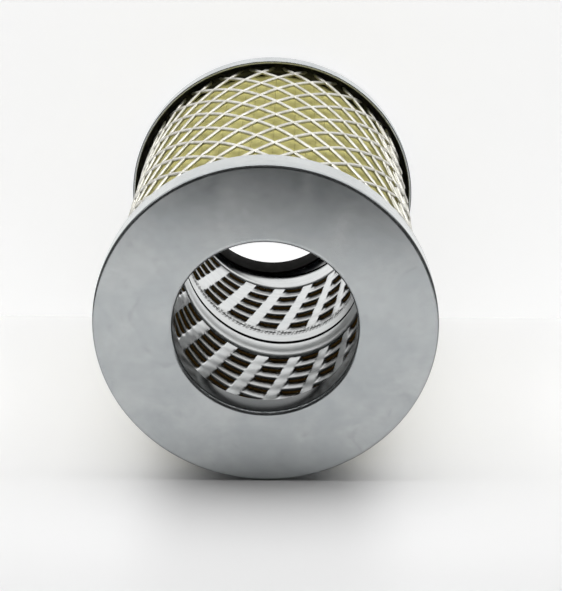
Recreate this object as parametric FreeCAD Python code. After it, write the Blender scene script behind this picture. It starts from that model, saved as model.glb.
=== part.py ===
import FreeCAD, Part
import math
import os

# Pleated filter element. A pack of folded paper stands round a spiral centre tube, an expanded
# metal wrap holds it from outside, and a pressed steel cap closes each end. Sizes are in
# millimetres and +Z is up. The element stands on its rear cap, and the origin is the centre of
# that cap's outer face.

# Overall sizes
element_length = 107.0
cap_radius = 45.0

# Pressed end caps: a flat ring with a skirt outside and a drawn neck inside
cap_sheet = 0.8
front_skirt_depth = 8.4
rear_skirt_depth = 5.5
skirt_corner = 0.7
neck_lip = 1.5
front_neck_bore = 24.2
front_neck_depth = 7.6
rear_neck_depth = 8.6

# Rubber sleeve that lines the rear neck and stands out of its free edge
seal_bore = 24.2
seal_overhang = 1.8

# Adhesive that beds the tube, the pack and the wrap in each cap
bed_depth = 0.8
bed_side_count = 18

# Centre tube: a punched strip wound to a helix, its edges folded together in a lock seam
tube_wall = 0.5
tube_side_count = 18
strip_width = 48.0
seam_height_at_side = 59.6
seam_width = 2.4
seam_rise = 0.7
slot_row_count = 5
slot_row_pitch = 6.4
slot_height = 3.0
slot_length = 14.6
rung_width = 5.0
first_row_below_seam = 10.7
slot_margin = 6.0

# Folded paper
pleat_count = 42
paper_thickness = 0.6
fold_slit = 0.4

# Expanded metal wrap: flat panels between rows of bonds, with a diamond opening on every bend
wrap_thickness = 1.0
diamond_count_around = 13
diamond_count_along = 4
strand_width = 1.5
bond_length = 3.2

# Clearances between neighbours
fit_gap = 0.2
wrap_room = 1.7
pack_gap = 0.3

# Radii and levels that follow from the sizes above
skirt_inside = cap_radius - cap_sheet
front_neck_outside = front_neck_bore + cap_sheet
rear_neck_bore = seal_bore + cap_sheet
rear_neck_outside = rear_neck_bore + cap_sheet
tube_inside = max(front_neck_outside, rear_neck_outside) + fit_gap
tube_outside = tube_inside + tube_wall
wrap_outside = skirt_inside - wrap_room
wrap_inside = wrap_outside - wrap_thickness
wrap_panel_count = 2 * diamond_count_around
pleat_half_angle = math.pi / pleat_count
pack_reach = wrap_inside * math.cos(math.pi / wrap_panel_count) - pack_gap
pack_outside = pack_reach * math.cos(pleat_half_angle)
seam_reach = (tube_outside + seam_rise) / math.cos(math.pi / tube_side_count)
pack_inside = seam_reach + pack_gap
stack_bottom = cap_sheet + bed_depth
stack_length = element_length - 2 * stack_bottom

ORIGIN = FreeCAD.Vector(0, 0, 0)
SIDEWAYS = FreeCAD.Vector(1, 0, 0)
FRONT_SIDE = FreeCAD.Vector(0, 1, 0)
UP = FreeCAD.Vector(0, 0, 1)


def polar(radius, angle, z=0.0):
    return FreeCAD.Vector(radius * math.cos(angle), radius * math.sin(angle), z)


def closed_face(corners):
    return Part.Face(Part.makePolygon(corners + corners[:1]))


def revolved(outline):
    """Solid of revolution about Z from (radius, z) corners."""
    corners = [FreeCAD.Vector(radius, 0, z) for radius, z in outline]
    return closed_face(corners).revolve(ORIGIN, UP, 360)


def upright(corners, z, height):
    """Prism that rises from an outline of XY points."""
    base = [FreeCAD.Vector(point.x, point.y, z) for point in corners]
    return closed_face(base).extrude(UP * height)


def stacked(corners):
    """Prism over the full height between the two adhesive beds."""
    return upright(corners, stack_bottom, stack_length)


def flats(apothem, sides):
    """Corners of a regular outline whose flats lie at the given distance from the axis."""
    step = 2 * math.pi / sides
    corner_radius = apothem / math.cos(step / 2)
    return [polar(corner_radius, (i + 0.5) * step) for i in range(sides)]


def corners_at(radius, sides):
    """Corners of a regular outline whose corners lie at the given radius."""
    step = 2 * math.pi / sides
    return [polar(radius, (i + 0.5) * step) for i in range(sides)]


def pressed_cap(neck_bore, neck_depth, skirt_depth):
    """Skirt, flat ring and drawn neck in one sheet, with the outer face up at z = 0."""
    neck_outside = neck_bore + cap_sheet
    return revolved([
        (cap_radius, -skirt_depth),
        (cap_radius, -skirt_corner),
        (cap_radius - skirt_corner, 0),
        (neck_bore + neck_lip, 0),
        (neck_bore, -neck_lip),
        (neck_bore, -neck_depth),
        (neck_outside, -neck_depth),
        (neck_outside, -cap_sheet),
        (skirt_inside, -cap_sheet),
        (skirt_inside, -skirt_depth),
    ])


def front_end_cap():
    cap = pressed_cap(front_neck_bore, front_neck_depth, front_skirt_depth)
    cap.translate(UP * element_length)
    return cap


def rear_end_cap():
    cap = pressed_cap(rear_neck_bore, rear_neck_depth, rear_skirt_depth)
    cap.rotate(ORIGIN, SIDEWAYS, 180)
    return cap


def bore_seal():
    sleeve_top = rear_neck_depth + seal_overhang
    return revolved([
        (seal_bore, neck_lip),
        (seal_bore, sleeve_top),
        (rear_neck_bore, sleeve_top),
        (rear_neck_bore, neck_lip),
    ])


def adhesive_bed(z, neck_outside):
    """Poured ring between neck and skirt, against the cap's inner face."""
    rim = corners_at(skirt_inside - fit_gap, bed_side_count)
    hole = flats(neck_outside + fit_gap, bed_side_count)
    return upright(rim, z, bed_depth).cut(upright(hole, z, bed_depth))


def rear_adhesive_bed():
    return adhesive_bed(cap_sheet, rear_neck_outside)


def front_adhesive_bed():
    return adhesive_bed(element_length - stack_bottom, front_neck_outside)


def pleat_point(pleat, radius, side, inset=0.0):
    """Point on one side of a pleat, half the slit and an inset short of the next pleat."""
    middle = (pleat + 0.5) * 2 * pleat_half_angle
    half_width = radius * math.tan(pleat_half_angle) - fold_slit / 2 - inset
    return polar(radius, middle) + polar(side * half_width, middle + math.pi / 2)


def pleat_pack():
    """One sheet folded into a closed ring, with broad outer folds that nearly touch."""
    outer_face = []
    inner_face = []
    for pleat in range(pleat_count):
        fold_angle = (pleat + 1) * 2 * pleat_half_angle
        outer_face.append(pleat_point(pleat, pack_outside, -1))
        outer_face.append(pleat_point(pleat, pack_outside, 1))
        outer_face.append(polar(pack_inside + paper_thickness, fold_angle))
        inner_face.append(pleat_point(pleat, pack_inside, -1, paper_thickness))
        inner_face.append(pleat_point(pleat, pack_outside - paper_thickness, -1, paper_thickness))
        inner_face.append(pleat_point(pleat, pack_outside - paper_thickness, 1, paper_thickness))
        inner_face.append(pleat_point(pleat, pack_inside, 1, paper_thickness))
    return stacked(outer_face).cut(stacked(inner_face))


def helix_lean():
    """Angle by which the wound strip leans from square to the axis."""
    return math.asin(strip_width / (2 * math.pi * tube_inside))


def strip_place(along, across):
    """Angle and height on the tube of a point of the flat strip, measured from the seam."""
    lean = helix_lean()
    angle = (along * math.cos(lean) - across * math.sin(lean)) / tube_inside
    return math.pi / 2 + angle, seam_height_at_side + along * math.sin(lean) + across * math.cos(lean)


def slot_punches():
    """Straight punches, in columns square to the strip, wherever the tube stands free."""
    column_pitch = slot_length + rung_width
    turn = 2 * math.pi * tube_inside / math.cos(helix_lean())
    columns = math.ceil(element_length / strip_width * turn / column_pitch)
    lowest = rear_neck_depth + seal_overhang + slot_margin
    highest = element_length - front_neck_depth - slot_margin
    corner = FreeCAD.Vector(-slot_length / 2, tube_inside / 2, -slot_height / 2)
    punches = []
    for column in range(-columns, columns):
        for row in range(slot_row_count):
            across = -first_row_below_seam - row * slot_row_pitch
            angle, z = strip_place(column * column_pitch, across)
            if not lowest < z < highest:
                continue
            punch = Part.makeBox(slot_length, tube_outside, slot_height, corner)
            punch.rotate(ORIGIN, FRONT_SIDE, math.degrees(helix_lean()))
            punch.rotate(ORIGIN, UP, math.degrees(angle - math.pi / 2))
            punch.translate(UP * z)
            punches.append(punch)
    return punches


def lock_seam():
    """Folded ridge that follows the strip's edge, bent at the tube's own corners."""
    step = 2 * math.pi / tube_side_count
    lead = strip_width / math.cos(helix_lean())
    seam_start = seam_height_at_side - lead / 4
    low = stack_bottom + seam_width
    high = element_length - stack_bottom - seam_width
    corner_rise = lead / tube_side_count
    first_corner = math.ceil((low - seam_start) / corner_rise)
    last_corner = math.floor((high - seam_start) / corner_rise)
    inner_radius = (tube_outside - tube_wall / 2) / math.cos(step / 2)
    outer_radius = seam_reach
    sections = []
    for corner in range(first_corner, last_corner):
        angle = step / 2 + corner * step
        z = seam_start + corner_rise / 2 + corner * corner_rise
        sections.append(Part.makePolygon([
            polar(inner_radius, angle, z - seam_width / 2),
            polar(outer_radius, angle, z - seam_width / 2),
            polar(outer_radius, angle, z + seam_width / 2),
            polar(inner_radius, angle, z + seam_width / 2),
            polar(inner_radius, angle, z - seam_width / 2),
        ]))
    return Part.makeLoft(sections, True, True)


def centre_tube():
    shell = stacked(flats(tube_outside, tube_side_count)).cut(stacked(flats(tube_inside, tube_side_count)))
    return shell.cut(slot_punches()).fuse(lock_seam()).removeSplitter()


def diamond_punch(height_centre, angle, half_wide, half_tall):
    """Punch for one opening, with its long point pair along the axis."""
    back = wrap_inside / 2
    corners = [
        FreeCAD.Vector(back, -half_wide, height_centre),
        FreeCAD.Vector(back, 0, height_centre + half_tall),
        FreeCAD.Vector(back, half_wide, height_centre),
        FreeCAD.Vector(back, 0, height_centre - half_tall),
    ]
    punch = closed_face(corners).extrude(SIDEWAYS * wrap_outside)
    punch.rotate(ORIGIN, UP, math.degrees(angle))
    return punch


def outer_wrap():
    panel_angle = 2 * math.pi / wrap_panel_count
    outline = corners_at(wrap_outside, wrap_panel_count)
    sheet = stacked(outline).cut(stacked(corners_at(wrap_inside, wrap_panel_count)))
    panel_width = 2 * wrap_outside * math.sin(panel_angle / 2)
    pitch = stack_length / diamond_count_along
    half_wide = panel_width - bond_length / 2
    half_tall = pitch / 2 - strand_width
    punches = []
    for bend in range(wrap_panel_count):
        stagger = bend % 2
        for row in range(diamond_count_along + stagger):
            z = stack_bottom + (row + 0.5 - 0.5 * stagger) * pitch
            punches.append(diamond_punch(z, (bend + 0.5) * panel_angle, half_wide, half_tall))
    return sheet.cut(punches)


MAKERS = {
    "front_end_cap": front_end_cap,
    "rear_end_cap": rear_end_cap,
    "bore_seal": bore_seal,
    "front_adhesive_bed": front_adhesive_bed,
    "rear_adhesive_bed": rear_adhesive_bed,
    "centre_tube": centre_tube,
    "pleat_pack": pleat_pack,
    "outer_wrap": outer_wrap,
}


if __name__ == "__main__":
    os.makedirs("parts", exist_ok=True)
    for name, make in MAKERS.items():
        make().exportStep(f"parts/{name}.step")
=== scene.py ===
import math

import bmesh
import bpy
from mathutils import Matrix, Vector, noise


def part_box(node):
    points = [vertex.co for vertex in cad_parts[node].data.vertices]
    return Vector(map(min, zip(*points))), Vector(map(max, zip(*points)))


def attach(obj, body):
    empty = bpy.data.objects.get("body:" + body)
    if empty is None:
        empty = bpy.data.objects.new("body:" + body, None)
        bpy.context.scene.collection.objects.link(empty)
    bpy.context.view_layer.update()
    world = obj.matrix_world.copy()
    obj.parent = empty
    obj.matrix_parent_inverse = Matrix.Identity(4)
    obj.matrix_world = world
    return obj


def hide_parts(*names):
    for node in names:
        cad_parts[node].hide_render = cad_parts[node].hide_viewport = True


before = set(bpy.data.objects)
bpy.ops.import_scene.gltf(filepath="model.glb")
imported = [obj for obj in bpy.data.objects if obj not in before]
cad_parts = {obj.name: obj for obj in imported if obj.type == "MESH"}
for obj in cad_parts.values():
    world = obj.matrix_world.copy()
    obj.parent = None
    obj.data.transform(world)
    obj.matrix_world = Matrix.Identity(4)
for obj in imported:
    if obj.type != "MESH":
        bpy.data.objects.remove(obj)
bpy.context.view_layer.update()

MM = 0.001
FULL_TURN = 2 * math.pi
AXIS = (0, 0, 1)
CENTRE = (0, 0, 0)

# Distances under which points are merged
same_point = 0.001 * MM
same_strip_point = 0.01 * MM
same_fold_point = 0.02 * MM

# Sizes that come from the fixed frame
front_low, front_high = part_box("front_end_cap")
rear_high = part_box("rear_end_cap")[1]
seal_low, seal_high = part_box("bore_seal")
tube_low, tube_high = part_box("centre_tube")
pack_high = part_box("pleat_pack")[1]
wrap_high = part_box("outer_wrap")[1]
bed_low, bed_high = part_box("rear_adhesive_bed")
length = front_high.z
cap_radius = front_high.x
front_skirt_depth = length - front_low.z
rear_neck_depth = rear_high.z
stack_bottom = tube_low.z
stack_top = tube_high.z
wrap_outside = wrap_high.y
seal_outside = seal_high.x
bed_depth = bed_high.z - bed_low.z

# Pressed caps
cap_sheet = 0.8 * MM
skirt_corner = 0.8 * MM
inner_corner = 0.2 * MM
neck_lip = 1.1 * MM
neck_bore = 24.2 * MM
front_neck_depth = 7.6 * MM
rear_skirt_depth = 5.5 * MM
sheared_edge = 0.16 * MM
flat_rim = 0.1 * MM
cap_steps = 192
rounding_steps = 5

# Poured beds: how far the compound climbs, and where it falls back to its level
bed_climb = 1.3 * MM
skirt_foot = 0.5 * MM
wrap_foot = 0.3 * MM
wrap_ridge = 1.2 * MM
pack_ridge = 1.0 * MM
pack_foot = 3.0 * MM

# Centre tube, wound from a strip of flat sheet
tube_inside = 26.0 * MM
strip_width = 48.0 * MM
strip_wall = 0.4 * MM
lean = math.asin(strip_width / (FULL_TURN * tube_inside))
seam_height = 59.6 * MM
seam_angle = math.pi / 2
column_pitch = 9.79 * MM
first_column = -3.99 * MM
row_pitch = 6.4 * MM
row_count = 5
first_row = 6.4 * MM
land = 1.1 * MM
slot_half = 3.15 * MM
slot_straight = 2.1 * MM
louvre_depth = 1.1 * MM
louvre_lip = 0.4 * MM
crisp = 0.18 * MM
rung_rounding = 0.5 * MM
rung_bulge = 0.14 * MM

# Lock seam between two turns of the strip
groove_rear = -0.8 * MM
groove_front = 0.5 * MM
groove_depth = 1.0 * MM
groove_wall = 0.05 * MM
bead_width = 6.0 * MM
bead_height = 0.4 * MM
bead_crest = 2.4 * MM
bead_start = 0.3 * MM

# Row of knurl marks behind the seam
knurl_middle = -6.5 * MM
knurl_half = 1.7 * MM
knurl_pitch = 1.2 * MM
knurl_wander = 9.0

# Folded paper, which lies a little further beneath the mesh than the solid does
pleat_count = 84
paper = 0.4 * MM
pack_inside = 28.6 * MM
pack_outside = pack_high.y - 1.1 * MM
inner_flat = 0.4
fold_gap = 0.015 * MM
fold_rounding = 0.06 * MM
fold_steps = 4

# Expanded metal: bands of zigzag strands that meet in short bonds
diamonds_around = 26
diamond_height = 13.2 * MM
node_angle = math.radians(267.2)
node_height = 0.4 * MM
bond_half = 0.6 * MM
strand_tall = 1.2 * MM
strand_tilt = -math.tan(math.radians(10))
strand_crown = 0.08 * MM
mesh_sheet = 0.8 * MM
mesh_inset = 0.65 * MM
mesh_middle = wrap_outside - mesh_inset
mesh_unevenness = 0.25 * MM
mesh_seed = 5
lumps_per_metre = 55
lap_angle = math.radians(203)
lap_lift = 0.45 * MM
lap_shift = 0.32


def finish_shape(shape):
    """Merges doubled points and points the faces outwards."""
    bmesh.ops.remove_doubles(shape, verts=shape.verts, dist=same_point)
    bmesh.ops.recalc_face_normals(shape, faces=shape.faces)


def new_piece(name, shape, slot, *nodes, crease=40):
    """Makes a piece from a finished shape. It rides on the element and stands for the nodes."""
    mesh = bpy.data.meshes.new(name)
    shape.to_mesh(mesh)
    shape.free()
    mesh.shade_smooth()
    mesh.set_sharp_from_angle(angle=math.radians(crease))
    piece = bpy.data.objects.new(name, mesh)
    bpy.context.scene.collection.objects.link(piece)
    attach(piece, "root")
    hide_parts(*nodes)
    return piece


def add_wall(piece, thickness, offset):
    """Gives a sheet its thickness: outwards for an offset of 1, inwards for -1, both ways for 0."""
    wall = piece.modifiers.new("wall", "SOLIDIFY")
    wall.thickness = thickness
    wall.offset = offset
    return piece


def turned(corners):
    """Turns a section about Z. Each corner is (radius, height, rounding)."""
    shape = bmesh.new()
    points = [shape.verts.new((radius, 0, z)) for radius, z, _ in corners]
    shape.faces.new(points)
    roundings = [corner[2] for corner in corners]
    for rounding in sorted(set(roundings) - {0}):
        chosen = [point for point, size in zip(points, roundings) if size == rounding]
        bmesh.ops.bevel(shape, geom=chosen, offset=rounding, offset_type="OFFSET", affect="VERTICES",
                        segments=rounding_steps, profile=0.5, material=-1)
    bmesh.ops.delete(shape, geom=shape.faces[:], context="FACES_ONLY")
    bmesh.ops.spin(shape, geom=shape.verts[:] + shape.edges[:], axis=AXIS, cent=CENTRE, dvec=CENTRE,
                   angle=FULL_TURN, steps=cap_steps, use_merge=True)
    finish_shape(shape)
    return shape


def pressed_cap(bore, neck_depth, skirt_depth):
    """Cap with its outer face up at the origin: skirt, flat ring and drawn neck in one sheet.

    Narrow flat rims beside the roundings keep the ring, the skirt and the neck straight in the shading.
    """
    inside = cap_radius - cap_sheet
    outside = bore + cap_sheet
    return turned([
        (cap_radius, -skirt_depth, sheared_edge),
        (cap_radius, -skirt_corner - flat_rim, 0),
        (cap_radius, 0, skirt_corner),
        (cap_radius - skirt_corner - flat_rim, 0, 0),
        (bore + neck_lip + flat_rim, 0, 0),
        (bore, 0, neck_lip),
        (bore, -neck_lip - flat_rim, 0),
        (bore, -neck_depth, sheared_edge),
        (outside, -neck_depth, sheared_edge),
        (outside, -cap_sheet, neck_lip - cap_sheet),
        (inside, -cap_sheet, inner_corner),
        (inside, -skirt_depth, sheared_edge),
    ])


def turn_over(shape):
    """Turns a shape upside down about the X axis."""
    bmesh.ops.rotate(shape, verts=shape.verts, cent=CENTRE, matrix=Matrix.Rotation(math.pi, 3, "X"))


def front_cap():
    """Near cap of the photograph, with the deeper skirt."""
    shape = pressed_cap(neck_bore, front_neck_depth, front_skirt_depth)
    bmesh.ops.translate(shape, verts=shape.verts, vec=(0, 0, length))
    return new_piece("front_cap_pressing", shape, "plated_cap", "front_end_cap")


def rear_cap():
    """Far cap, whose wider neck holds the rubber sleeve."""
    shape = pressed_cap(seal_outside, rear_neck_depth, rear_skirt_depth)
    turn_over(shape)
    return new_piece("rear_cap_pressing", shape, "plated_cap", "rear_end_cap")


def seal_sleeve():
    """Rubber sleeve with rounded edges."""
    edge = 0.3 * MM
    shape = turned([
        (neck_bore, seal_low.z, edge),
        (seal_outside, seal_low.z, edge),
        (seal_outside, seal_high.z, edge),
        (neck_bore, seal_high.z, edge),
    ])
    return new_piece("seal_sleeve", shape, "seal_rubber", "bore_seal")


def adhesive_ring(name, node, upside_down):
    """Poured bed, drawn up where it wets the skirt and round the ends of the wrap and the pack."""
    inside = cap_radius - cap_sheet
    hole = seal_outside + cap_sheet
    top = cap_sheet + bed_depth
    shape = turned([
        (inside, cap_sheet, 0),
        (inside, top + bed_climb, 0),
        (inside - skirt_foot, top + skirt_foot, 0),
        (wrap_outside + wrap_foot, top, 0),
        (wrap_outside - wrap_ridge, top + bed_climb, 0),
        (pack_outside - pack_ridge, top + bed_climb, 0),
        (pack_outside - pack_foot, top, 0),
        (hole, top, 0),
        (hole, cap_sheet, 0),
    ])
    if upside_down:
        turn_over(shape)
        bmesh.ops.translate(shape, verts=shape.verts, vec=(0, 0, length))
    return new_piece(name, shape, "adhesive", node)


def flat_grid(columns, rows):
    """Grid of points over two lists of stations, as a flat shape."""
    shape = bmesh.new()
    bmesh.ops.create_grid(shape, x_segments=len(columns) - 1, y_segments=len(rows) - 1, size=0.5)
    for vertex in shape.verts:
        i = round((vertex.co.x + 0.5) * (len(columns) - 1))
        j = round((vertex.co.y + 0.5) * (len(rows) - 1))
        vertex.co = (columns[i], rows[j], 0)
    return shape


def steps_between(start, end, count):
    """Evenly spaced values from start to end, both included."""
    return [start + (end - start) * i / count for i in range(count + 1)]


def as_mesh(shape):
    """Keeps a shape as a mesh that can be copied."""
    mesh = bpy.data.meshes.new("repeated")
    shape.to_mesh(mesh)
    shape.free()
    return mesh


def place_copy(shape, mesh, offset):
    """Adds one more copy of a repeated flat mesh to a shape."""
    start = len(shape.verts)
    shape.from_mesh(mesh)
    shape.verts.ensure_lookup_table()
    bmesh.ops.translate(shape, verts=shape.verts[start:], vec=offset)


def keep_between(shape, bottom, top):
    """Cuts away everything outside two levels."""
    for level, normal in ((bottom, -1), (top, 1)):
        geometry = shape.verts[:] + shape.edges[:] + shape.faces[:]
        bmesh.ops.bisect_plane(shape, geom=geometry, plane_co=(0, 0, level), plane_no=(0, 0, normal),
                               clear_outer=True)


def map_flat_shape(shape, name):
    """Keeps the flat coordinates, in centimetres, as a UV map for the surface finish."""
    layer = shape.loops.layers.uv.new(name)
    for face in shape.faces:
        for loop in face.loops:
            loop[layer].uv = (loop.vert.co.x / (10 * MM), loop.vert.co.y / (10 * MM))


def wind(shape):
    """Lays flat strip (along, across, outward) on the tube as a helix."""
    for vertex in shape.verts:
        along, across, outward = vertex.co
        angle = seam_angle + (along * math.cos(lean) - across * math.sin(lean)) / tube_inside
        radius = tube_inside + outward
        height = seam_height + along * math.sin(lean) + across * math.cos(lean)
        vertex.co = (radius * math.cos(angle), radius * math.sin(angle), height)


def louvre_end(distance):
    """How far the louvre is open, from 1 at its middle to 0 at its rounded end."""
    past = (abs(distance) - slot_straight) / (slot_half - slot_straight)
    if past <= 0:
        return 1.0
    if past >= 1:
        return 0.0
    return math.sqrt(1 - past * past)


def louvre_cell():
    """One louvre with the land in front of it and half a rung on each side."""
    half = column_pitch / 2
    rung = slot_half + rung_rounding
    right = [slot_straight / 2] + steps_between(slot_straight, slot_half, 5) + [rung, half]
    columns = [-x for x in reversed(right)] + [0] + right
    hinge = row_pitch - land
    bend = hinge - louvre_lip
    bent_rows = [louvre_lip + bend * quarter / 4 for quarter in range(4)]
    rows = [0] + bent_rows + [hinge - crisp, hinge, hinge + crisp, row_pitch]
    shape = flat_grid(columns, rows)
    for vertex in shape.verts:
        slope = min(1, max(0, hinge - vertex.co.y) / bend)
        opening = slope * louvre_end(vertex.co.x)
        beside = min(1, max(0, abs(vertex.co.x) - slot_half) / (rung - slot_half))
        bulge = math.sin(math.pi * vertex.co.y / row_pitch) ** 2 * beside
        vertex.co.z = louvre_depth * opening - rung_bulge * bulge
    return shape


def seam_profile(across):
    """Outward depth of the plain margins, as distance in front of the seam line."""
    if groove_rear <= across <= groove_front:
        return groove_depth
    past = (across - groove_front) / (bead_width - groove_front)
    if not 0 < past < 1:
        return 0.0
    crest = (bead_crest - groove_front) / (bead_width - groove_front)
    if past < crest:
        return -bead_height * math.sin(past / crest * math.pi / 2)
    return -bead_height * math.cos((past - crest) / (1 - crest) * math.pi / 2)


def plain_margins(first, last):
    """Smooth bands on both sides of the lock seam, with rows of points closer where the sheet bends."""
    behind = [-first_row, -5.6 * MM, -4.6 * MM, -3.0 * MM, -1.2 * MM]
    groove = [groove_rear - groove_wall, groove_rear, groove_front, groove_front + groove_wall]
    rise = steps_between(groove_front + bead_start, bead_crest, 3)
    fall = steps_between(bead_crest, bead_width, 5)[1:]
    in_front = [7 * MM, strip_width - first_row - row_count * row_pitch]
    rows = behind + groove + rise + fall + in_front
    half = column_pitch / 2
    columns = steps_between(first_column + first * column_pitch - half,
                            first_column + (last - 1) * column_pitch + half, (last - first) * 8)
    shape = flat_grid(columns, rows)
    for vertex in shape.verts:
        vertex.co.z = seam_profile(vertex.co.y)
    return as_mesh(shape)


def louvred_tube():
    """The wound strip: louvre cells in five rows, plain margins and the lock seam between them."""
    strip = bmesh.new()
    cell = as_mesh(louvre_cell())
    rise = math.sin(lean) * column_pitch
    first = math.floor((stack_bottom - strip_width - seam_height) / rise)
    last = math.ceil((stack_top + strip_width - seam_height) / rise)
    for column in range(first, last):
        along = first_column + column * column_pitch
        for row in range(row_count):
            across = -(first_row + (row + 1) * row_pitch)
            height = seam_height + along * math.sin(lean) + across * math.cos(lean)
            if stack_bottom - 2 * row_pitch < height < stack_top + row_pitch:
                place_copy(strip, cell, (along, across, 0))
    place_copy(strip, plain_margins(first, last), CENTRE)
    bmesh.ops.remove_doubles(strip, verts=strip.verts, dist=same_strip_point)
    map_flat_shape(strip, "strip")
    wind(strip)
    keep_between(strip, stack_bottom, stack_top)
    bmesh.ops.recalc_face_normals(strip, faces=strip.faces)
    return add_wall(new_piece("spiral_tube", strip, "tube_steel", "centre_tube", crease=50), strip_wall, 1)


def pleats():
    """One sheet of paper in rounded folds, stood up and given its thickness."""
    shape = bmesh.new()
    half_angle = math.pi / pleat_count
    inner = half_angle * pack_inside
    tip = pack_outside * math.tan(half_angle) - fold_gap
    outline = [(pack_inside, -inner), (pack_inside, -inner * inner_flat), (pack_outside, -tip),
               (pack_outside, tip), (pack_inside, inner * inner_flat), (pack_inside, inner)]
    points = [shape.verts.new((x, y, stack_bottom)) for x, y in outline]
    for start, end in zip(points, points[1:]):
        shape.edges.new((start, end))
    bmesh.ops.bevel(shape, geom=points[2:4], offset=fold_rounding, offset_type="OFFSET", affect="VERTICES",
                    segments=fold_steps, profile=0.5, material=-1)
    bmesh.ops.spin(shape, geom=shape.verts[:] + shape.edges[:], axis=AXIS, cent=CENTRE, dvec=CENTRE,
                   angle=FULL_TURN, steps=pleat_count, use_duplicate=True, use_merge=True)
    bmesh.ops.remove_doubles(shape, verts=shape.verts, dist=same_fold_point)
    risen = bmesh.ops.extrude_edge_only(shape, edges=shape.edges[:])
    top = [item for item in risen["geom"] if isinstance(item, bmesh.types.BMVert)]
    bmesh.ops.translate(shape, verts=top, vec=(0, 0, stack_top - stack_bottom))
    bmesh.ops.recalc_face_normals(shape, faces=shape.faces)
    return add_wall(new_piece("paper_pleats", shape, "filter_paper", "pleat_pack"), paper, -1)


def strand_cell():
    """One crest of a zigzag band, from trough to trough, laid flat. The crest is at the origin."""
    pitch = FULL_TURN * mesh_middle / diamonds_around
    half = pitch / 2
    drop = diamond_height / 2
    slope = (drop - strand_tall) / (half - 2 * bond_half)
    right = [bond_half, half * 0.36, half * 0.64, half - bond_half, half]
    columns = [-x for x in reversed(right)] + [0] + right
    shape = flat_grid(columns, [-1.0, 0.0, 1.0])
    for vertex in shape.verts:
        beside = abs(vertex.co.x)
        top = -slope * max(0, beside - bond_half)
        bottom = max(-drop, -slope * (beside - bond_half) - strand_tall)
        share = vertex.co.y
        crest = 1 - 2 * beside / half
        tall = (top - bottom) / 2
        lift = share * tall * strand_tilt - crest * strand_tall / 4 * strand_tilt
        vertex.co.y = (top + bottom) / 2 + share * tall
        vertex.co.z = lift + strand_crown * (1 - share * share)
    return shape


def roll(shape):
    """Bends a flat shape (around, height, outward) to the wrap, a little unevenly."""
    noise.seed_set(mesh_seed)
    for vertex in shape.verts:
        around, height, outward = vertex.co
        angle = node_angle + around / mesh_middle
        radius = mesh_middle + outward
        vertex.co = (radius * math.cos(angle), radius * math.sin(angle), height)
        uneven = noise.noise_vector(vertex.co * lumps_per_metre) * mesh_unevenness
        vertex.co += uneven - vertex.co.normalized() * abs(uneven.x)


def expanded_wrap():
    """Expanded sheet: zigzag bands bonded crest to trough, with the sheet's edge lapped over."""
    shape = bmesh.new()
    cell = as_mesh(strand_cell())
    pitch = FULL_TURN * mesh_middle / diamonds_around
    bands = math.ceil(length / (diamond_height / 2)) + 1
    for band in range(bands):
        crest_line = node_height + (band + 1) * diamond_height / 2
        stagger = (band + 1) % 2 / 2
        for diamond in range(diamonds_around):
            place_copy(shape, cell, ((diamond + stagger) * pitch, crest_line, 0))
    lap = (lap_angle - node_angle) % FULL_TURN * mesh_middle
    for band in range(-1, bands):
        crest_line = node_height + (band + 1 + lap_shift) * diamond_height / 2
        place_copy(shape, cell, (lap + (band % 2) * pitch / 2, crest_line, lap_lift))
    roll(shape)
    bmesh.ops.remove_doubles(shape, verts=shape.verts, dist=same_fold_point)
    keep_between(shape, stack_bottom, stack_top)
    bmesh.ops.recalc_face_normals(shape, faces=shape.faces)
    return add_wall(new_piece("expanded_wrap", shape, "wrap_steel", "outer_wrap", crease=35), mesh_sheet, 0)


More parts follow.
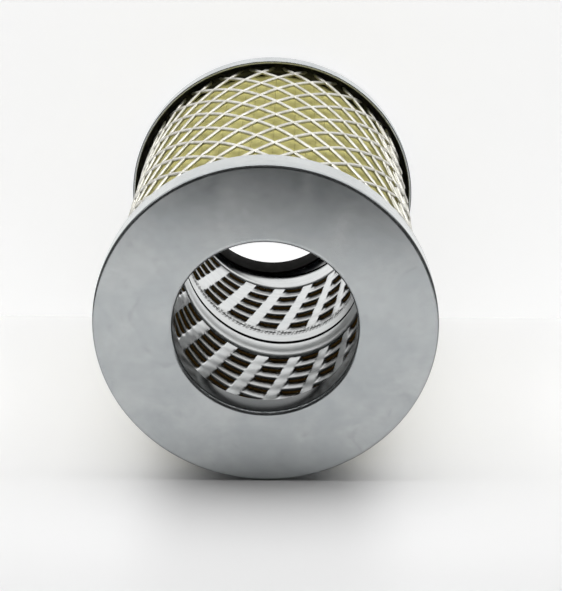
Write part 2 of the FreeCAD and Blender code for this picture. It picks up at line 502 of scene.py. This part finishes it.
class Finish:
    """A surface finish made of procedural nodes, with short calls for the usual ones."""

    def __init__(self, name):
        self.material = bpy.data.materials.new(name)
        self.material.use_nodes = True
        self.nodes = self.material.node_tree.nodes
        self.shader = self.nodes["Principled BSDF"]
        self.place = self.nodes.new("ShaderNodeTexCoord").outputs["Object"]

    def link(self, source, target):
        self.material.node_tree.links.new(source, target)

    def feed(self, value, socket):
        """Sets a socket to a plain value or links it to another node."""
        if isinstance(value, bpy.types.NodeSocket):
            self.link(value, socket)
        else:
            socket.default_value = value

    def noise(self, size, detail=4.0, stretch=(1, 1, 1), distortion=0.0, place=None):
        """Soft noise whose lumps have the given size in metres."""
        scaled = self.nodes.new("ShaderNodeVectorMath")
        scaled.operation = "MULTIPLY"
        self.link(place or self.place, scaled.inputs[0])
        scaled.inputs[1].default_value = stretch
        made = self.nodes.new("ShaderNodeTexNoise")
        made.inputs["Scale"].default_value = 1 / size
        made.inputs["Detail"].default_value = detail
        made.inputs["Distortion"].default_value = distortion
        self.link(scaled.outputs[0], made.inputs["Vector"])
        return made.outputs["Fac"]

    def curve(self, source, low, high, to_low=0.0, to_high=1.0):
        """Maps a range of values smoothly to another."""
        made = self.nodes.new("ShaderNodeMapRange")
        made.interpolation_type = "SMOOTHSTEP"
        self.feed(source, made.inputs["Value"])
        made.inputs["From Min"].default_value = low
        made.inputs["From Max"].default_value = high
        made.inputs["To Min"].default_value = to_low
        made.inputs["To Max"].default_value = to_high
        return made.outputs["Result"]

    def math(self, operation, first, second=0.0):
        """One step of arithmetic on numbers or nodes."""
        made = self.nodes.new("ShaderNodeMath")
        made.operation = operation
        self.feed(first, made.inputs[0])
        self.feed(second, made.inputs[1])
        return made.outputs[0]

    def mix(self, share, first, second):
        """Blends two colours."""
        made = self.nodes.new("ShaderNodeMix")
        made.data_type = "RGBA"
        self.feed(share, made.inputs["Factor"])
        self.feed(first, made.inputs[6])
        self.feed(second, made.inputs[7])
        return made.outputs[2]

    def bump(self, height, strength, distance, before=None):
        """Small unevenness of the surface, on top of an earlier one where it is given."""
        made = self.nodes.new("ShaderNodeBump")
        made.inputs["Strength"].default_value = strength
        made.inputs["Distance"].default_value = distance
        self.link(height, made.inputs["Height"])
        if before is not None:
            self.link(before, made.inputs["Normal"])
        return made.outputs["Normal"]

    def split(self, vector):
        """The three parts of a vector."""
        parts = self.nodes.new("ShaderNodeSeparateXYZ")
        self.link(vector, parts.inputs[0])
        return parts.outputs

    def radius(self):
        """Distance from the element's axis."""
        x, y, _ = self.split(self.place)
        return self.math("SQRT", self.math("ADD", self.math("MULTIPLY", x, x), self.math("MULTIPLY", y, y)))

    def choose(self, share, first, second):
        """Blends two numbers."""
        made = self.nodes.new("ShaderNodeMix")
        made.data_type = "FLOAT"
        self.feed(share, made.inputs[0])
        self.feed(first, made.inputs[2])
        self.feed(second, made.inputs[3])
        return made.outputs[0]

    def glowing(self, grey, level):
        """A matt grey surface that also gives off light."""
        surface = self.nodes.new("ShaderNodeBsdfDiffuse")
        surface.inputs["Color"].default_value = (grey, grey, grey, 1)
        glow = self.nodes.new("ShaderNodeEmission")
        self.link(level, glow.inputs["Strength"])
        both = self.nodes.new("ShaderNodeAddShader")
        self.link(surface.outputs[0], both.inputs[0])
        self.link(glow.outputs[0], both.inputs[1])
        return both.outputs[0]

    def complete(self, colour, metallic, roughness, normal):
        """Joins what was made to the shader and gives the material."""
        self.feed(colour, self.shader.inputs["Base Color"])
        self.feed(metallic, self.shader.inputs["Metallic"])
        self.feed(roughness, self.shader.inputs["Roughness"])
        self.link(normal, self.shader.inputs["Normal"])
        return self.material


def cap_zinc():
    """Satin zinc plating: cloudy grey, fine grain, dull smudges and scuffs, with painted shade in the drawn
    neck and on the rounded outer edge.
    """
    dull_zinc = (0.45, 0.475, 0.485, 1)
    pale_zinc = (0.55, 0.57, 0.575, 1)
    smudge_grey = (0.29, 0.3, 0.3, 1)
    scuff_white = (0.62, 0.64, 0.64, 1)
    mottle_grey = (0.36, 0.375, 0.38, 1)
    painted_edge_shade = (0.03, 0.032, 0.033, 1)
    painted_neck_shade = (0.03, 0.034, 0.035, 1)
    neck_polish = 0.14
    made = Finish("cap_zinc")
    clouds = made.noise(14 * MM, 5.0, distortion=0.6)
    grain = made.noise(0.5 * MM, 3.0)
    smudges = made.curve(made.noise(7 * MM, 3.0, distortion=1.0), 0.58, 0.74)
    scuffs = made.curve(made.noise(6 * MM, 3.0, stretch=(0.25, 6, 1)), 0.62, 0.75)
    mottle = made.curve(made.noise(2.2 * MM, 3.0), 0.35, 0.65, 0, 0.16)
    colour = made.mix(made.curve(clouds, 0.3, 0.7), dull_zinc, pale_zinc)
    colour = made.mix(made.math("MULTIPLY", smudges, 0.22), colour, smudge_grey)
    colour = made.mix(made.math("MULTIPLY", scuffs, 0.1), colour, scuff_white)
    colour = made.mix(mottle, colour, mottle_grey)
    outward = made.radius()
    # Inside this radius the drawn neck gets a near-black colour: painted shade that dims its reflection
    face = made.curve(outward, neck_bore + 0.02 * MM, neck_bore + 0.1 * MM)
    # Painted shade on the rounded outer edge, in the band where the lamp's highlight would fall
    edge_shade_mask = made.math("MULTIPLY", made.curve(outward, cap_radius - 0.4 * MM, cap_radius - 0.2 * MM),
                     made.curve(outward, cap_radius - 0.08 * MM, cap_radius - 0.01 * MM, 1, 0))
    colour = made.mix(made.math("MULTIPLY", edge_shade_mask, 0.75), colour, painted_edge_shade)
    colour = made.mix(face, painted_neck_shade, colour)
    satin = made.math("ADD", made.curve(clouds, 0.3, 0.7, 0.17, 0.22), made.math("MULTIPLY", grain, 0.06))
    rougher = made.math("MULTIPLY", face, made.math("SUBTRACT", satin, neck_polish))
    normal = made.bump(made.noise(9 * MM, 1.0), 0.05, 0.08 * MM)
    return made.complete(colour, 0.92, made.math("ADD", neck_polish, rougher), normal)


def wrap_bright():
    """Bright expanded sheet, a little dull and scuffed where it was sheared and rolled."""
    bright_steel = (0.62, 0.61, 0.56, 1)
    dull_steel = (0.48, 0.47, 0.42, 1)
    made = Finish("wrap_bright")
    dull = made.noise(4 * MM, 4.0)
    grain = made.noise(0.35 * MM, 3.0)
    colour = made.mix(made.curve(dull, 0.35, 0.7), bright_steel, dull_steel)
    roughness = made.curve(grain, 0.3, 0.7, 0.36, 0.5)
    return made.complete(colour, 0.6, roughness, made.bump(grain, 0.25, 0.04 * MM))


def tube_zinc():
    """Galvanised strip with rolling streaks, a row of knurl marks and painted shade along the lock seam
    groove.
    """
    dull_zinc = (0.47, 0.485, 0.485, 1)
    pale_zinc = (0.55, 0.56, 0.555, 1)
    streak_grey = (0.34, 0.355, 0.36, 1)
    knurl_dark = (0.05, 0.05, 0.048, 1)
    painted_seam_shade = (0.01, 0.01, 0.01, 1)
    in_cm = 10 * MM
    made = Finish("tube_zinc")
    flat = made.nodes.new("ShaderNodeUVMap")
    flat.uv_map = "strip"
    along, across, _ = made.split(flat.outputs[0])
    seam_middle = (groove_front + groove_rear) / 2 / in_cm
    seam_half = (groove_front - groove_rear) / 2 / in_cm
    from_seam = made.math("ABSOLUTE", made.math("SUBTRACT", across, seam_middle))
    # Painted shade along the lock seam groove, a little wider than the groove itself
    seam = made.curve(from_seam, seam_half * 1.25, seam_half * 1.5, 1, 0)
    from_knurl = made.math("ABSOLUTE", made.math("SUBTRACT", across, knurl_middle / in_cm))
    band = made.curve(from_knurl, knurl_half / in_cm * 0.6, knurl_half / in_cm, 1, 0)
    turns = made.math("MULTIPLY", along, FULL_TURN / (knurl_pitch / in_cm))
    uneven = made.math("MULTIPLY", made.noise(0.11, 2.0, place=flat.outputs[0]), knurl_wander)
    marks = made.math("SINE", made.math("ADD", turns, uneven))
    knurl = made.math("MULTIPLY", made.curve(marks, -0.5, 0.1), band)
    streaks = made.noise(0.12, 4.0, stretch=(0.15, 1, 1), place=flat.outputs[0])
    clouds = made.noise(6 * MM, 5.0, distortion=0.8)
    grain = made.noise(0.4 * MM, 3.0)
    colour = made.mix(made.curve(clouds, 0.3, 0.7), dull_zinc, pale_zinc)
    colour = made.mix(made.curve(streaks, 0.4, 0.7, 0, 0.3), colour, streak_grey)
    colour = made.mix(made.math("MULTIPLY", knurl, 0.65), colour, knurl_dark)
    colour = made.mix(seam, colour, painted_seam_shade)
    grainy = made.math("ADD", clouds, made.math("MULTIPLY", grain, 0.3))
    roughness = made.curve(grainy, 0.5, 0.9, 0.29, 0.38)
    normal = made.bump(grain, 0.04, 0.03 * MM)
    normal = made.bump(made.math("SUBTRACT", 1.0, knurl), 0.8, 0.15 * MM, normal)
    return made.complete(colour, 0.86, roughness, normal)


def pleat_paper():
    """Resin-treated yellow paper, browner deep in the folds from painted shade, with a painted glow there
    for the little light that comes through it.
    """
    olive = (0.35, 0.325, 0.105, 1)
    straw = (0.43, 0.4, 0.145, 1)
    fibre_brown = (0.3, 0.26, 0.08, 1)
    painted_fold_shade_brown = (0.4, 0.24, 0.07, 1)
    painted_glow_amber = (0.5, 0.32, 0.1, 1)
    painted_paper_glow = 0.024
    made = Finish("pleat_paper")
    fibres = made.noise(0.5 * MM, 5.0, stretch=(1, 1, 0.5))
    blotches = made.noise(5 * MM, 4.0, distortion=0.5)
    # Painted shade and painted glow: towards the inside of the pack the paper turns browner and gives off a
    # faint amber light
    outer = made.curve(made.radius(), pack_inside, pack_outside - 4 * MM)
    yellow = made.mix(made.curve(blotches, 0.3, 0.7), olive, straw)
    yellow = made.mix(made.curve(fibres, 0.35, 0.75, 0, 0.35), yellow, fibre_brown)
    colour = made.mix(outer, painted_fold_shade_brown, yellow)
    made.feed(painted_glow_amber, made.shader.inputs["Emission Color"])
    glow = made.math("MULTIPLY", made.math("SUBTRACT", 1.0, outer), painted_paper_glow)
    made.feed(glow, made.shader.inputs["Emission Strength"])
    height = made.math("ADD", fibres, blotches)
    return made.complete(colour, 0.0, 0.85, made.bump(height, 0.25, 0.12 * MM))


def black_rubber():
    """Matt black rubber with a little dust."""
    soot = (0.004, 0.0037, 0.003, 1)
    dusty = (0.009, 0.0085, 0.007, 1)
    made = Finish("black_rubber")
    made.shader.inputs["IOR"].default_value = 1.06
    dust = made.noise(3 * MM, 5.0)
    grain = made.noise(0.25 * MM, 2.0)
    colour = made.mix(made.curve(dust, 0.45, 0.8), soot, dusty)
    roughness = made.curve(dust, 0.3, 0.7, 0.5, 0.65)
    return made.complete(colour, 0.0, roughness, made.bump(grain, 0.3, 0.03 * MM))


def poured_compound():
    """Black compound that set with a lumpy, half-glossy skin."""
    pitch_black = (0.012, 0.012, 0.011, 1)
    pale_black = (0.03, 0.029, 0.026, 1)
    made = Finish("poured_compound")
    lumps = made.noise(2.5 * MM, 3.0)
    colour = made.mix(made.curve(lumps, 0.35, 0.7), pitch_black, pale_black)
    roughness = made.curve(lumps, 0.3, 0.7, 0.3, 0.5)
    return made.complete(colour, 0.0, roughness, made.bump(lumps, 0.6, 0.4 * MM))


def dress(piece, finish):
    """Gives a piece its surface finish."""
    piece.data.materials.clear()
    piece.data.materials.append(finish)


plated = cap_zinc()
compound = poured_compound()
dress(front_cap(), plated)
dress(rear_cap(), plated)
dress(seal_sleeve(), black_rubber())
dress(adhesive_ring("rear_bed", "rear_adhesive_bed", False), compound)
dress(adhesive_ring("front_bed", "front_adhesive_bed", True), compound)
dress(louvred_tube(), tube_zinc())
dress(pleats(), pleat_paper())
dress(expanded_wrap(), wrap_bright())

# Floor: its own grey, and the light that it shows, gives and sends into mirrors
ground_reach = 3.0
floor_albedo = 0.4
floor_seen = 0.72
floor_given = 0.55
floor_reflected = 0.36
# Painted light on the floor inside the element's shadow, where it shows through the bore and in the tube's
# reflections
painted_bore_light = 0.99
painted_bore_reflection = 1.1
glow_from = 90 * MM
glow_to = 320 * MM
glow_far = 0.3

# Ground that the element lies on in the photograph: a plane beside it that fades at its edges
table_half = 240 * MM
table_front = length + 238 * MM
table_fade = 66 * MM
table_slant = 0.28
table_albedo = 0.8
table_reflected = 0.42
mirror_from = length + 23 * MM
mirror_to = length + 183 * MM

# Light that the camera sees on that plane beside the element, where the photograph is paler
side_lift = 0.2
side_start = 18 * MM
side_full = 40 * MM
side_wane = 38 * MM
side_end = 80 * MM
side_left = 0.45
front_left = 0.2
front_wane = 50 * MM
joint_lift = 0.1
joint_inner = 50 * MM
joint_outer = 88 * MM
joint_low = 0.1 * length
joint_high = 0.7 * length


def floor_white():
    """Pale floor that reads as white, lights the element from below and takes its shadow, with painted
    light under the bore.
    """
    made = Finish("floor_white")
    path = made.nodes.new("ShaderNodeLightPath")
    sideways = made.math("ABSOLUTE", made.split(made.place)[0])
    outward = made.radius()
    # Inside the bore's radius the floor shows painted light, to the camera and in mirrors
    seen = made.curve(outward, neck_bore, cap_radius, painted_bore_light, floor_seen)
    mirrored = made.curve(outward, neck_bore, cap_radius, painted_bore_reflection, floor_reflected)
    sharp = made.math("MULTIPLY", path.outputs["Is Glossy Ray"], mirrored)
    waning = made.curve(sideways, glow_from, glow_to, 1, glow_far)
    given = made.math("MULTIPLY", waning, made.math("ADD", floor_given, sharp))
    level = made.choose(path.outputs["Is Camera Ray"], given, seen)
    made.link(made.glowing(floor_albedo, level), made.nodes["Material Output"].inputs["Surface"])
    return made.material


def table_white():
    """Ground on which the element lies in the photograph.

    It shows only from the element's side, casts no shadow and fades out at its edges.
    """
    made = Finish("table_white")
    path = made.nodes.new("ShaderNodeLightPath")
    facing = made.nodes.new("ShaderNodeNewGeometry")
    x, _, z = made.split(made.place)
    aside = made.math("ABSOLUTE", x)

    beside = made.math("MULTIPLY", made.curve(aside, side_start, side_full, 0, side_lift),
                       made.curve(aside, side_wane, side_end, 1, side_left))
    beside = made.math("MULTIPLY", beside, made.curve(z, length, length + front_wane, 1, front_left))
    beside = made.math("MULTIPLY", beside, made.curve(z, 0, joint_high, 0, 1))
    joint = made.math("MULTIPLY", made.curve(aside, joint_inner, joint_outer, joint_lift, 0),
                      made.curve(z, joint_low, joint_high, 1, 0))
    seen = made.math("MULTIPLY", made.math("ADD", beside, joint), path.outputs["Is Camera Ray"])
    mirrored = made.math("MULTIPLY", made.curve(z, mirror_from, mirror_to, 0, table_reflected),
                         path.outputs["Is Glossy Ray"])
    ground = made.glowing(table_albedo, made.math("ADD", mirrored, seen))

    slanted = made.math("SUBTRACT", z, made.math("MULTIPLY", x, table_slant))
    inside = made.math("MULTIPLY", made.curve(aside, table_half - table_fade, table_half, 1, 0),
                       made.curve(slanted, table_front - table_fade, table_front, 1, 0))
    solid = made.math("MULTIPLY", made.math("SUBTRACT", 1.0, facing.outputs["Backfacing"]),
                      made.math("SUBTRACT", 1.0, path.outputs["Is Shadow Ray"]))
    clear = made.nodes.new("ShaderNodeBsdfTransparent")
    choice = made.nodes.new("ShaderNodeMixShader")
    made.link(made.math("MULTIPLY", solid, inside), choice.inputs["Fac"])
    made.link(clear.outputs[0], choice.inputs[1])
    made.link(ground, choice.inputs[2])
    made.link(choice.outputs[0], made.nodes["Material Output"].inputs["Surface"])
    return made.material


def stage_plane(name, corners, finish):
    """A flat part of the surroundings, which isn't a piece of the element."""
    shape = bmesh.new()
    shape.faces.new([shape.verts.new(corner) for corner in corners])
    plane = bpy.data.objects.new(name, as_mesh(shape))
    bpy.context.scene.collection.objects.link(plane)
    plane.data.materials.append(finish)
    return plane


stage_plane("floor", [(-ground_reach, -ground_reach, 0), (ground_reach, -ground_reach, 0),
                      (ground_reach, ground_reach, 0), (-ground_reach, ground_reach, 0)], floor_white())
stage_plane("photo_table", [(-table_half, cap_radius, 0), (table_half, cap_radius, 0),
                            (table_half, cap_radius, table_front), (-table_half, cap_radius, table_front)],
            table_white())


def softbox(name, place, target, size, power):
    """Rectangular lamp that faces its target and that the camera doesn't see."""
    lamp = bpy.data.lights.new(name, "AREA")
    lamp.shape = "RECTANGLE"
    lamp.size = size[0]
    lamp.size_y = size[1]
    lamp.energy = power
    holder = bpy.data.objects.new(name, lamp)
    bpy.context.scene.collection.objects.link(holder)
    holder.location = place
    holder.visible_camera = False
    holder.rotation_euler = (Vector(target) - Vector(place)).to_track_quat("-Z", "Y").to_euler()
    return holder


softbox("overhead", place=(0, -0.3, 0.062), target=(0, 0, 0.062), size=(1.2, 0.12), power=2.5)
softbox("fill", place=(0, -0.75, 0.85), target=(0, 0, 0.05), size=(0.5, 0.5), power=0.04)


def studio_world():
    """White to the eye; for lighting it is pale at the horizon and dark overhead."""
    sky_seen = 0.95
    horizon_light = 0.14
    overhead_light = 0.02
    dark_from = 0.75
    world = bpy.data.worlds.new("studio")
    world.use_nodes = True
    nodes = world.node_tree.nodes
    links = world.node_tree.links
    heading = nodes.new("ShaderNodeTexCoord")
    parts = nodes.new("ShaderNodeSeparateXYZ")
    links.new(heading.outputs["Generated"], parts.inputs[0])
    fall = nodes.new("ShaderNodeMapRange")
    fall.interpolation_type = "SMOOTHSTEP"
    links.new(parts.outputs[2], fall.inputs["Value"])
    fall.inputs["From Min"].default_value = 0.0
    fall.inputs["From Max"].default_value = dark_from
    fall.inputs["To Min"].default_value = horizon_light
    fall.inputs["To Max"].default_value = overhead_light
    path = nodes.new("ShaderNodeLightPath")
    level = nodes.new("ShaderNodeMix")
    level.data_type = "FLOAT"
    links.new(path.outputs["Is Camera Ray"], level.inputs[0])
    links.new(fall.outputs["Result"], level.inputs[2])
    level.inputs[3].default_value = sky_seen
    links.new(level.outputs[0], nodes["Background"].inputs["Strength"])
    nodes["Background"].inputs["Color"].default_value = (1, 1, 1, 1)
    return world


bpy.context.scene.world = studio_world()

# Camera of the photograph: it looks down on the standing element with its top edge toward -Y
camera_place = Vector((-8.1, -158.3, 446.1)) * MM
camera_target = Vector((-4.07, -9.85, 107.0)) * MM
camera_roll = math.radians(-178.34)
sensor = 36.0
photo_height = 591
focal_pixels = 1444.3
lens = bpy.data.cameras.new("photo_camera")
lens.sensor_width = sensor
lens.lens = focal_pixels / photo_height * sensor
lens.clip_start = 10 * MM
camera = bpy.data.objects.new("photo_camera", lens)
bpy.context.scene.collection.objects.link(camera)
camera.location = camera_place
aim = (camera_target - camera_place).to_track_quat("-Z", "Y").to_matrix()
camera.rotation_euler = (aim @ Matrix.Rotation(camera_roll, 3, "Z")).to_euler()
bpy.context.scene.camera = camera

bpy.context.scene.view_settings.view_transform = "Standard"
